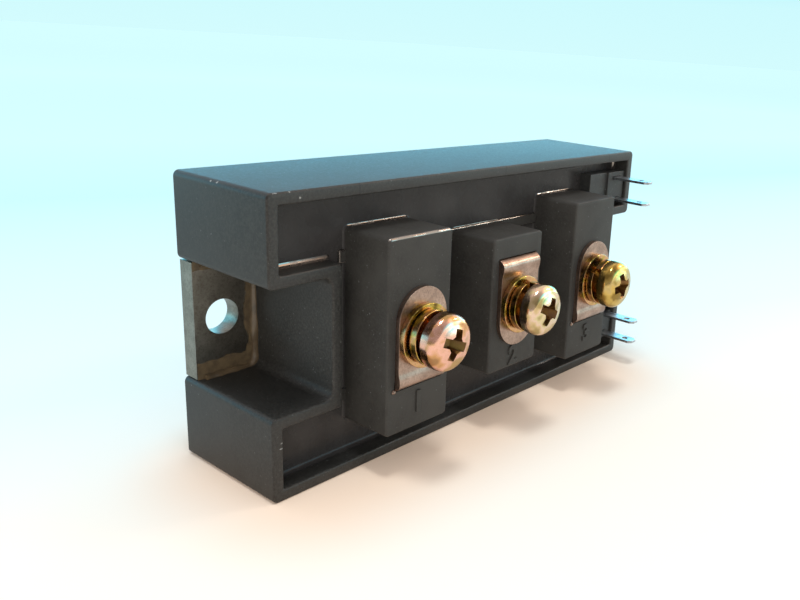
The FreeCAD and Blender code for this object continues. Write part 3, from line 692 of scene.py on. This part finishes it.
class MODULE_OT_blocks(bpy.types.Operator):
    """Builds the three terminal blocks with strap slots and a raised number, and the two rails"""

    bl_idname = "module.blocks"
    bl_label = "Terminal blocks"

    def execute(self, context):
        size = context.scene.module_case
        edge = size.block_edge
        reach = context.scene.module_metal.strap_reach
        moulding = moulded_plastic(
            "matt black block moulding", size.block_dark, size.block_light, (0.5, 0.66), 0.4, 0.22
        )
        # Block 1's upper edge and the upper rail take a raised sheen: a painted highlight line.
        rubbed = wet_edge("moulding edge with painted highlight sheen", 0.2, 0.55)
        profile = [(0.0, BLOCK_FLOOR)] + rim_rounding(edge, BLOCK_TOP)
        for index in TERMINALS:
            x, half_wide, half_long = block_place(index)
            place = (x, half_wide, half_long, size.block_corner)
            rings = [at_height(block_outline(*place, inset), height) for inset, height in profile]
            block = as_object(f"terminal_block_{index}", loft(rings))
            # The strap has 0.1 mm of play in its slot.
            low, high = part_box(f"terminal_strap_{index}")
            way = strap_way(index)
            z0, z1 = sorted((way * (reach + 0.1 * MM), way * (reach - 1.3 * MM)))
            x0, x1 = low.x - 0.1 * MM, high.x + 0.1 * MM
            carve(block, box_mesh(x0, x1, BLOCK_TOP - 4 * MM, BLOCK_TOP + 1 * MM, z0, z1))
            soften(block, angle=32)
            finish_piece(block, moulding, "moulding", "terminal_bridge")
            if index == 1:
                second_material(block, rubbed, lambda *face: on_upper_edge(*face, half_long, edge))
            finish_piece(raised_number(index, x), moulding, "moulding")
        for side, name in ((-1, "lower_rail"), (1, "upper_rail")):
            z0, z1 = sorted((side * size.rail_reach, side * (size.rail_reach - 2 * MM)))
            rail = as_object(name, box_mesh(bridge_low.x, bridge_high.x, 15 * MM, 18.9 * MM, z0, z1))
            soften(rail, 0.2 * MM)
            finish_piece(rail, moulding, "moulding")
            # The upper rail's rounded edges take the raised sheen: a painted highlight line.
            if side > 0:
                rail.data.materials.append(rubbed)
                rail.modifiers["round edges"].material = 1
        return {"FINISHED"}


def on_upper_edge(centre, normal, half_long, edge):
    """Whether a face lies on the round between a block's face and its upper end."""
    near = centre.z > half_long - edge and centre.y < -BLOCK_TOP + edge
    return near and abs(normal.z) > 0.15 and abs(normal.y) > 0.15


def raised_number(index, x):
    """A plain moulded number on the free end of a block."""
    curve = bpy.data.curves.new("number", "FONT")
    curve.body = str(index)
    curve.size = 4.6 * MM
    curve.offset = 0.16 * MM
    curve.extrude = 0.2 * MM
    curve.bevel_depth = 0.05 * MM
    curve.align_x = "CENTER"
    curve.align_y = "CENTER"
    maker = in_scene("number", curve)
    number = in_scene(f"block_number_{index}", evaluated_mesh(maker))
    bpy.data.objects.remove(maker)
    place = Vector((x, -BLOCK_TOP - 0.02 * MM, -9.7 * MM if index == MIDDLE else -11.2 * MM))
    number.data.transform(Matrix.Translation(place) @ Matrix.Rotation(QUARTER, 4, "X"))
    soften(number, angle=35)
    return number


class MODULE_OT_straps(bpy.types.Operator):
    """Builds the bent straps with round noses and screw holes"""

    bl_idname = "module.straps"
    bl_label = "Straps"

    def execute(self, context):
        size = context.scene.module_metal
        # Nickel so thin that the copper warms it: a pinkish satin with rolling lines along the strap.
        look = (size.strap_dark, size.strap_light, 2.5, (0.26, 0.42), 0.35, (7.0, 1.0, 1.0))
        strip = plated_metal("thin nickel on copper strap", *look)
        for index in TERMINALS:
            low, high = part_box(f"terminal_strap_{index}")
            way = strap_way(index)
            x, half = middle_and_half(low, high)
            strap = as_object(f"strap_{index}", strap_mesh(x, half, -low.y, way, size))
            hole = [(size.strap_hole / 2, height) for height in (26 * MM, 30 * MM)]
            carve(strap, loft(turned(x, hole, 48)))
            soften(strap, 0.1 * MM, 50)
            if index != MIDDLE:
                place = Vector((low.x - 0.25 * MM, low.y + 0.75 * MM, way * 8.15 * MM))
                finish_piece(corner_burr(f"strap_burr_{index}", place), strip, "strap_copper")
            finish_piece(strap, strip, "strap_copper", f"terminal_strap_{index}")
        return {"FINISHED"}


def corner_burr(name, place):
    """A small rounded burr that shows at the corner of a strap's slot."""
    mesh = bmesh.new()
    bmesh.ops.create_icosphere(mesh, subdivisions=3, radius=1.0)
    half_size = Vector((0.38, 0.26, 0.34)) * MM
    # Each burr has a shape of its own, from a noise that starts elsewhere.
    start = Vector((place.x, 0, place.z)) * 900
    for vert in mesh.verts:
        swell = 1 + 0.25 * noise.noise(vert.co * 1.7 + start)
        vert.co = place + vert.co * swell * half_size
    burr = as_object(name, mesh)
    burr.data.shade_smooth()
    return burr


def strap_mesh(x, half, top, way, size):
    """A strip with a round nose that runs along the block's face and turns down into its slot."""
    thick = size.strap_thickness
    bend = size.strap_bend
    outer = bend + thick
    # Each row: its upper and its lower line, as distance from the screw and height, and half its width.
    rows = []
    for k in range(13):
        turn = QUARTER * k / 12
        out = half - size.strap_nose - half * math.cos(turn)
        rows.append(((out, top), (out, top - thick), max(half * math.sin(turn), 0.05 * MM)))
    start = size.strap_reach - outer
    # The face rises to the bend's crest: millimetres before the bend, and thirtieths of the rise.
    for before, share in ((2.0, 0), (1.7, 2), (1.4, 8), (1.0, 20), (0.6, 27), (0.0, 30)):
        out = start - before * MM
        rows.append(((out, top + size.crest * share / 30), (out, top - thick), half))
    for k in range(1, 9):
        turn = QUARTER * k / 8
        crest = size.crest * math.cos(turn) ** 2
        over = (start + outer * math.sin(turn), top - outer + outer * math.cos(turn) + crest)
        under = (start + bend * math.sin(turn), top - outer + bend * math.cos(turn))
        rows.append((over, under, half))
    rows.append(((size.strap_reach, top - 5 * MM), (size.strap_reach - thick, top - 5 * MM), half))
    rings = []
    for (over, over_height), (under, under_height), wide in rows:
        ring = [(x - wide, over_height, way * over), (x + wide, over_height, way * over)]
        ring += [(x + wide, under_height, way * under), (x - wide, under_height, way * under)]
        rings.append(ring)
    return loft(rings)


class MODULE_OT_screws(bpy.types.Operator):
    """Builds the pan-head screws with their cross recesses"""

    bl_idname = "module.screws"
    bl_label = "Screws"

    def execute(self, context):
        size = context.scene.module_metal
        # The passivation took differently on each screw: pinkish, pale and greenish gold.
        tones = {
            1: ("#a67d55", "#d09c6c", "#e9b4a0", "#e0ad94", "#b3905e"),
            2: ("#a8905f", "#d0b588", "#e0c2ac", "#d4c496", "#b0a070"),
            3: ("#8f7438", "#c0a056", "#cdae62", "#c2a870", "#96803a"),
        }
        # The recess is painted darker than the head as its shade, and its plating is thin and dull where the
        # driver bites.
        recess_shade_tones = ("#6a4c2a", "#8f6c3c", "#7d5c42", "#857040")
        recess = passivated_zinc("dull zinc screw recess with painted shade", recess_shade_tones, (0.34, 0.5))
        turns = {1: -22, 2: -26, 3: 12}
        for index in TERMINALS:
            low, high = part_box(f"terminal_screw_{index}")
            under = -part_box(f"spring_washer_{index}")[0].y
            x, radius = middle_and_half(low, high)
            top = -low.y
            screw = as_object(f"screw_{index}", head_mesh(x, under, top, radius, size))
            carve(screw, recess_mesh(x, top, turns[index], size))
            soften(screw, angle=28)
            zinc = passivated_zinc(f"yellow-passivated zinc screw {index}", tones[index], (0.1, 0.26))
            finish_piece(screw, zinc, "zinc_steel", f"terminal_screw_{index}")
            # The recess faces take the darker tones: painted shade.
            reach = size.recess_span / 2 + 0.05 * MM
            second_material(screw, recess, lambda *face: in_recess(*face, x, top, reach))
            dress_node(f"terminal_nut_{index}", zinc)
        return {"FINISHED"}


def head_mesh(x, under, top, radius, size):
    """A turned head with a domed top and rounded shoulder, on a plain shank."""
    crown = size.head_crown
    shoulder = size.head_shoulder
    shank = 2.5 * MM
    taper = 0.05 * MM
    chamfer = 0.2 * MM
    # The dome passes through the top's middle; the shoulder's arc meets the straight side.
    rim = radius - shoulder
    side_top = top - (crown - math.sqrt(crown ** 2 - rim ** 2)) - shoulder
    profile = [(shank - taper, under - 9 * MM), (shank, under), (radius - chamfer, under)]
    profile += [(radius, under + chamfer), (radius, side_top)]
    profile += arc((rim, side_top), shoulder, 0, 90, 6)[1:]
    for k in range(1, 8):
        r = rim * (1 - k / 8)
        profile.append((r, top - crown + math.sqrt(crown ** 2 - r ** 2)))
    return loft(turned(x, profile))


def recess_mesh(x, top, turn, size):
    """The cross recess: four wings that taper towards the middle as they go down."""
    cos, sin = math.cos(math.radians(turn)), math.sin(math.radians(turn))
    rings = []
    # Height above the head in millimetres, and shares of the span and of the width there.
    for rise, span, width in ((0.6, 1.06, 1.04), (-0.3, 1.0, 1.0), (-1.2, 0.62, 0.86), (-2.1, 0.34, 0.7)):
        side = size.recess_width / 2 * width
        end = max(size.recess_span / 2 * span, side * 1.3)
        root = side + 0.45 * MM * span
        corners = [(end, -side), (end, side), (root, side), (side, root)]
        for _ in range(3):
            corners += [(-v, u) for u, v in corners[-4:]]
        rings.append([(x + u * cos - v * sin, top + rise * MM, u * sin + v * cos) for u, v in corners])
    return loft(rings)


def in_recess(centre, normal, x, top, reach):
    """Whether a face lies inside a screw's recess, which takes the painted shade."""
    depth = top + centre.y
    inside = math.hypot(centre.x - x, centre.z) < reach and depth < 2.5 * MM
    return inside and (abs(normal.y) < 0.75 or depth > 1.0 * MM)


class MODULE_OT_washers(bpy.types.Operator):
    """Builds the flat washers and the open split washers"""

    bl_idname = "module.washers"
    bl_label = "Washers"

    def execute(self, context):
        inner = 2.65 * MM
        wire = 1.3 * MM
        # The same plating as the screws', with darker tones among its patches.
        flat_tones = ("#5b4526", "#b8935c", "#c99c74", "#b39c4a", "#665228")
        split_tones = ("#553f20", "#bd9550", "#c89a70", "#b8a044", "#5e4a22")
        flat_zinc = passivated_zinc("yellow-passivated flat washer", flat_tones, (0.16, 0.32))
        split_zinc = passivated_zinc("yellow-passivated split washer", split_tones, (0.12, 0.28))
        turns = {1: 60, 2: 100, 3: 140}
        for index in TERMINALS:
            low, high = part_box(f"flat_washer_{index}")
            x, radius = middle_and_half(low, high)
            profile = [(radius, -high.y), (radius, -low.y), (inner, -low.y), (inner, -high.y)]
            flat = as_object(f"washer_{index}", loft(turned(x, profile), "joined"))
            soften(flat, 0.12 * MM)
            finish_piece(flat, flat_zinc, "zinc_steel", f"flat_washer_{index}")
            # The split washer lies on the flat one's middle.
            low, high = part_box(f"spring_washer_{index}")
            split = as_object(f"split_washer_{index}", split_mesh(x, low, high, inner, wire, turns[index]))
            soften(split, 0.12 * MM)
            finish_piece(split, split_zinc, "zinc_steel", f"spring_washer_{index}")
        return {"FINISHED"}


def split_mesh(x, low, high, inner, thick, turn):
    """One open turn of square wire, which leaves a gap of 12 degrees."""
    outer = (high.x - low.x) / 2
    rise = high.y - low.y - thick
    steps = 56
    rings = []
    for k in range(steps + 1):
        angle = math.radians(turn + 6 + 348 * k / steps)
        foot = -high.y + rise * k / steps
        section = ((inner, foot), (outer, foot), (outer, foot + thick), (inner, foot + thick))
        rings.append([(x + r * math.cos(angle), height, r * math.sin(angle)) for r, height in section])
    return loft(rings)


class MODULE_OT_controls(bpy.types.Operator):
    """Dresses the guides and the thin control tabs"""

    bl_idname = "module.controls"
    bl_label = "Control tabs"

    def execute(self, context):
        guide = moulded_plastic("grey-black guide moulding", "#242727", "#2f3232", (0.5, 0.66), 0.5, 0.4)
        for name in ("gate_guide_upper", "gate_guide_lower"):
            dress_node(name, guide, 0.12 * MM)
        # Tin on stamped brass: a pale grey satin, drawn along the tab.
        look = ("#9fa6ad", "#c6cbcf", 1.5, (0.28, 0.42), 0.2, (1.0, 5.0, 1.0))
        tin = plated_metal("tin-plated brass tab", *look)
        for number in TABS:
            dress_node(f"gate_tab_{number}", tin, 0.08 * MM)
        return {"FINISHED"}


class MODULE_OT_inside(bpy.types.Operator):
    """Gives the sealed inner pieces their materials"""

    bl_idname = "module.inside"
    bl_label = "Inner pieces"

    def execute(self, context):
        # Gel is pale and looks wet, a woven sleeve is dull and finely mottled, fired alumina is white.
        gel = soft_filler("clear silicone gel", "#c4cac8", "#d2d7d5", 0.2, 6.0)
        sleeve = soft_filler("white woven sleeve", "#d6d2c8", "#e4e0d6", 0.7, 0.6)
        ceramic = soft_filler("white alumina", "#e6e5df", "#f0efe9", 0.5, 1.0)
        # Etched copper is salmon, solder a clouded grey, a metallised chip smooth and drawn wire bright.
        copper = plated_metal("bare copper", "#b5714c", "#cb8660", 3.0, (0.3, 0.45))
        solder = plated_metal("reflowed solder", "#9c9ea0", "#b4b6b8", 2.0, (0.3, 0.5))
        silicon = plated_metal("metallised chip", "#8d9196", "#a4a8ad", 3.0, (0.2, 0.3))
        wire = plated_metal("drawn aluminium wire", "#b9bbbe", "#d2d4d6", 1.0, (0.25, 0.4))
        dress_node("silicone_gel", gel)
        dress_node("phase_link", copper)
        for number in TABS:
            dress_node(f"gate_lead_{number}", sleeve)
        layers = {
            "ceramic": ceramic,
            "base_solder": solder,
            "back_copper": copper,
            "collector_pad": copper,
            "emitter_pad": copper,
            "gate_pad": copper,
            "igbt_chip": silicon,
            "diode_chip": silicon,
            "emitter_wires": wire,
            "gate_wire": wire,
        }
        for number in SUBSTRATES:
            for name, material in layers.items():
                dress_node(f"{name}_{number}", material)
        return {"FINISHED"}


class MODULE_OT_studio(bpy.types.Operator):
    """Builds the pale floor, the lights, the sky and the camera"""

    bl_idname = "module.studio"
    bl_label = "Studio"

    def execute(self, context):
        scene = context.scene
        studio = scene.module_studio
        scene.view_settings.view_transform = "Standard"
        far = 6.0
        floor_mesh = bmesh.new()
        for x, y in ((-far, -far), (far, -far), (far, far), (-far, far)):
            floor_mesh.verts.new((x, y, case_low.z))
        floor_mesh.faces.new(list(floor_mesh.verts))
        floor = as_object("floor", floor_mesh)
        floor.data.materials.append(floor_material(studio))
        for name, place, watts, size, tint in (
            ("key", (-0.07, -0.08, 0.79), studio.key_watts, 0.15, "#f8fcff"),
            ("glint", (0.77, -0.45, 0.465), studio.glint_watts, 0.12, "#fffaf2"),
            ("fill", (-0.68, -0.60, 0.30), studio.fill_watts, 0.6, "#fff1e8"),
        ):
            data = bpy.data.lights.new(name, "AREA")
            data.energy = watts
            data.size = size
            data.color = linear(tint)[:3]
            lamp = in_scene(name, data)
            lamp.location = place
            lamp.rotation_euler = (-Vector(place)).to_track_quat("-Z", "Y").to_euler()
            # The fill only lifts the shadows; the metal mirrors a dim room there, as in the photograph.
            lamp.visible_glossy = name != "fill"
        sky_world(scene, studio)
        photo_camera(scene)
        return {"FINISHED"}


def floor_material(studio):
    """Matt coated paper, laid as a sweep: warm white in front of the module and pale cyan far behind it,
    with a warm tone painted along its foot as bounce light and shadow tint.
    """
    material, tree, shader, where = new_material("matt paper sweep")
    split = add(tree, "SeparateXYZ", {"Vector": where}).outputs
    # The sweep turns cyan backwards and a little to the right, over 0.4 m.
    across = add(tree, "Math", {0: split["X"], 1: 0.35}, operation="MULTIPLY")
    along = add(tree, "Math", {0: split["Y"], 1: 0.94, 2: across}, operation="MULTIPLY_ADD")
    span = add(tree, "MapRange", {"Value": along, "From Min": -0.04, "From Max": 0.36})
    tones = (studio.floor_near, "#e6fafa", "#ddf8fa", "#c8f4fa", studio.floor_far)
    sweep = add(tree, "ValToRGB", {"Fac": span}, list(zip((0.0, 0.13, 0.26, 0.6, 1.0), tones)))
    # A warm tone, painted as bounce light and shadow tint, lies on the floor along the module's foot and
    # fades over 20 mm.
    nothing = (0.0, 0.0, 0.0)
    middle = (-5 * MM, case_low.y + 5 * MM, case_low.z)
    half_foot = (case_high.x - 11 * MM, 5 * MM, 0.0)
    steps = (("SUBTRACT", middle), ("ABSOLUTE", nothing), ("SUBTRACT", half_foot), ("MAXIMUM", nothing))
    beyond = where
    for operation, operand in steps:
        beyond = add(tree, "VectorMath", {0: beyond, 1: operand}, operation=operation)
    away = add(tree, "VectorMath", {0: beyond}, operation="LENGTH").outputs["Value"]
    fade = {"Value": away, "From Min": 4 * MM, "From Max": 24 * MM, "To Min": 1.0, "To Max": 0.0}
    near = add(tree, "MapRange", fade, interpolation_type="SMOOTHSTEP")
    paper = {0: near, 6: sweep, 7: studio.floor_warm}
    paper = add(tree, "Mix", paper, data_type="RGBA").outputs[2]
    # The lamps fade with distance, so the far sweep is lifted to stay as pale as the sky above it.
    path = add(tree, "LightPath").outputs
    seen = add(tree, "Math", {0: path["Is Camera Ray"], 1: path["Is Glossy Ray"]}, operation="MAXIMUM")
    radius = add(tree, "VectorMath", {0: where}, operation="LENGTH").outputs["Value"]
    distance = add(tree, "MapRange", {"Value": radius, "From Min": 0.0, "From Max": 3.8})
    lift = add(tree, "ValToRGB", {"Fac": distance}, [(0.025, 0.0), (0.25, 0.28), (0.6, 0.32), (1.0, 0.33)])
    amount = add(tree, "Math", {0: seen, 1: lift}, operation="MULTIPLY")
    matt = add(tree, "BsdfDiffuse", {"Color": paper})
    glow = add(tree, "Emission", {"Color": paper, "Strength": amount})
    both = add(tree, "AddShader", {0: matt, 1: glow})
    feed(tree, tree.nodes["Material Output"], {"Surface": both})
    tree.nodes.remove(shader)
    return material


def sky_world(scene, studio):
    """Even light all round, and a pale cyan sky for what the camera and the gloss see."""
    world = bpy.data.worlds.new("pale sky")
    scene.world = world
    world.use_nodes = True
    tree = world.node_tree
    where = add(tree, "TexCoord").outputs["Generated"]
    path = add(tree, "LightPath").outputs
    height = add(tree, "SeparateXYZ", {"Vector": where}).outputs["Z"]
    level = add(tree, "MapRange", {"Value": height, "From Min": -1.0, "From Max": 1.0})
    # The camera sees only the lowest 3 degrees of it, just above 0.5; the rest shows in the gloss.
    stops = [(0.49, "#d4fcfe"), (0.53, "#cefafe"), (0.56, "#68deff")]
    stops += [(0.64, "#68daff"), (0.74, "#84868a"), (1.0, "#847b72")]
    sky = add(tree, "ValToRGB", {"Fac": level}, stops)
    # The gloss also mirrors a dim room behind the camera, which keeps the near faces dark, and a warm
    # wall at the right in front, which draws the thin lines along the wet edges.
    for toward, start, end, first, last, tone in (
        ((0.8, 0.6, 0.0), -0.5, 0.25, 1.0, 0.0, "#565453"),
        ((0.769, -0.4, 0.499), 0.85, 0.97, 0.0, 1.0, "#c0a894"),
    ):
        facing = add(tree, "VectorMath", {0: where, 1: toward}, operation="DOT_PRODUCT").outputs["Value"]
        span = {"Value": facing, "From Min": start, "From Max": end, "To Min": first, "To Max": last}
        share = add(tree, "MapRange", span, interpolation_type="SMOOTHSTEP")
        mirrored = add(tree, "Math", {0: share, 1: path["Is Glossy Ray"]}, operation="MULTIPLY")
        sky = add(tree, "Mix", {0: mirrored, 6: sky, 7: tone}, data_type="RGBA").outputs[2]
    # White for the camera, and brighter in the gloss, as a window is.
    strength = add(tree, "Math", {0: path["Is Glossy Ray"], 1: 3.6, 2: 1.0}, operation="MULTIPLY_ADD")
    seen = add(tree, "Background", {"Color": sky, "Strength": strength})
    even = tree.nodes["Background"]
    feed(tree, even, {"Color": "#f6f8ff", "Strength": studio.sky})
    direct = path["Is Camera Ray"]
    for kind in ("Is Glossy Ray", "Is Transmission Ray"):
        direct = add(tree, "Math", {0: direct, 1: path[kind]}, operation="MAXIMUM")
    mix = add(tree, "MixShader", {0: direct, 1: even, 2: seen})
    feed(tree, tree.nodes["World Output"], {"Surface": mix})


def photo_camera(scene):
    """The camera at the photograph's place, from a fit to the module's own corners."""
    azimuth, elevation, roll = math.radians(-52.815), math.radians(16.438), math.radians(3.728)
    focal_px = 822.24
    middle_x, middle_y = 521.46, 286.81
    place = Vector((-106.387, -109.796, 42.348)) * MM
    sensor = 36
    level = math.cos(elevation)
    back = Vector((math.sin(azimuth) * level, -math.cos(azimuth) * level, math.sin(elevation)))
    right = Vector((0, 0, 1)).cross(back).normalized()
    up = back.cross(right)
    rolled_right = math.cos(roll) * right + math.sin(roll) * up
    rolled_up = -math.sin(roll) * right + math.cos(roll) * up
    data = bpy.data.cameras.new("camera")
    data.sensor_width = sensor
    data.lens = focal_px * sensor / PHOTO_WIDTH
    data.shift_x = (PHOTO_WIDTH / 2 - middle_x) / PHOTO_WIDTH
    data.shift_y = (middle_y - PHOTO_HEIGHT / 2) / PHOTO_WIDTH
    data.clip_start = 5 * MM
    camera = in_scene("camera", data)
    turn = Matrix((rolled_right, rolled_up, back)).transposed().to_4x4()
    camera.matrix_world = Matrix.Translation(place) @ turn
    scene.camera = camera


class MODULE_PT_panel(bpy.types.Panel):
    """Lists the module's pieces"""

    bl_label = "Power module"
    bl_idname = "MODULE_PT_panel"
    bl_space_type = "VIEW_3D"
    bl_region_type = "UI"
    bl_category = "Module"

    def draw(self, context):
        for operator in OPERATORS:
            self.layout.operator(operator.bl_idname)


OPERATORS = (
    MODULE_OT_studio,
    MODULE_OT_case,
    MODULE_OT_base,
    MODULE_OT_resin,
    MODULE_OT_blocks,
    MODULE_OT_straps,
    MODULE_OT_screws,
    MODULE_OT_washers,
    MODULE_OT_controls,
    MODULE_OT_inside,
)
GROUPS = {"module_case": ModuleCase, "module_metal": ModuleMetal, "module_studio": ModuleStudio}


def register():
    """Registers the classes and hangs the settings on the scene."""
    for group in GROUPS.values():
        bpy.utils.register_class(group)
    for operator in OPERATORS:
        bpy.utils.register_class(operator)
    bpy.utils.register_class(MODULE_PT_panel)
    for name, group in GROUPS.items():
        setattr(bpy.types.Scene, name, bpy.props.PointerProperty(type=group))


def unregister():
    """Takes the settings and classes away again."""
    for name in GROUPS:
        delattr(bpy.types.Scene, name)
    bpy.utils.unregister_class(MODULE_PT_panel)
    for operator in reversed(OPERATORS):
        bpy.utils.unregister_class(operator)
    for group in GROUPS.values():
        bpy.utils.unregister_class(group)


def main():
    """Builds everything in order."""
    register()
    bpy.ops.module.studio()
    bpy.ops.module.case()
    bpy.ops.module.base()
    bpy.ops.module.resin()
    bpy.ops.module.blocks()
    bpy.ops.module.straps()
    bpy.ops.module.screws()
    bpy.ops.module.washers()
    bpy.ops.module.controls()
    bpy.ops.module.inside()


if __name__ == "__main__":
    main()
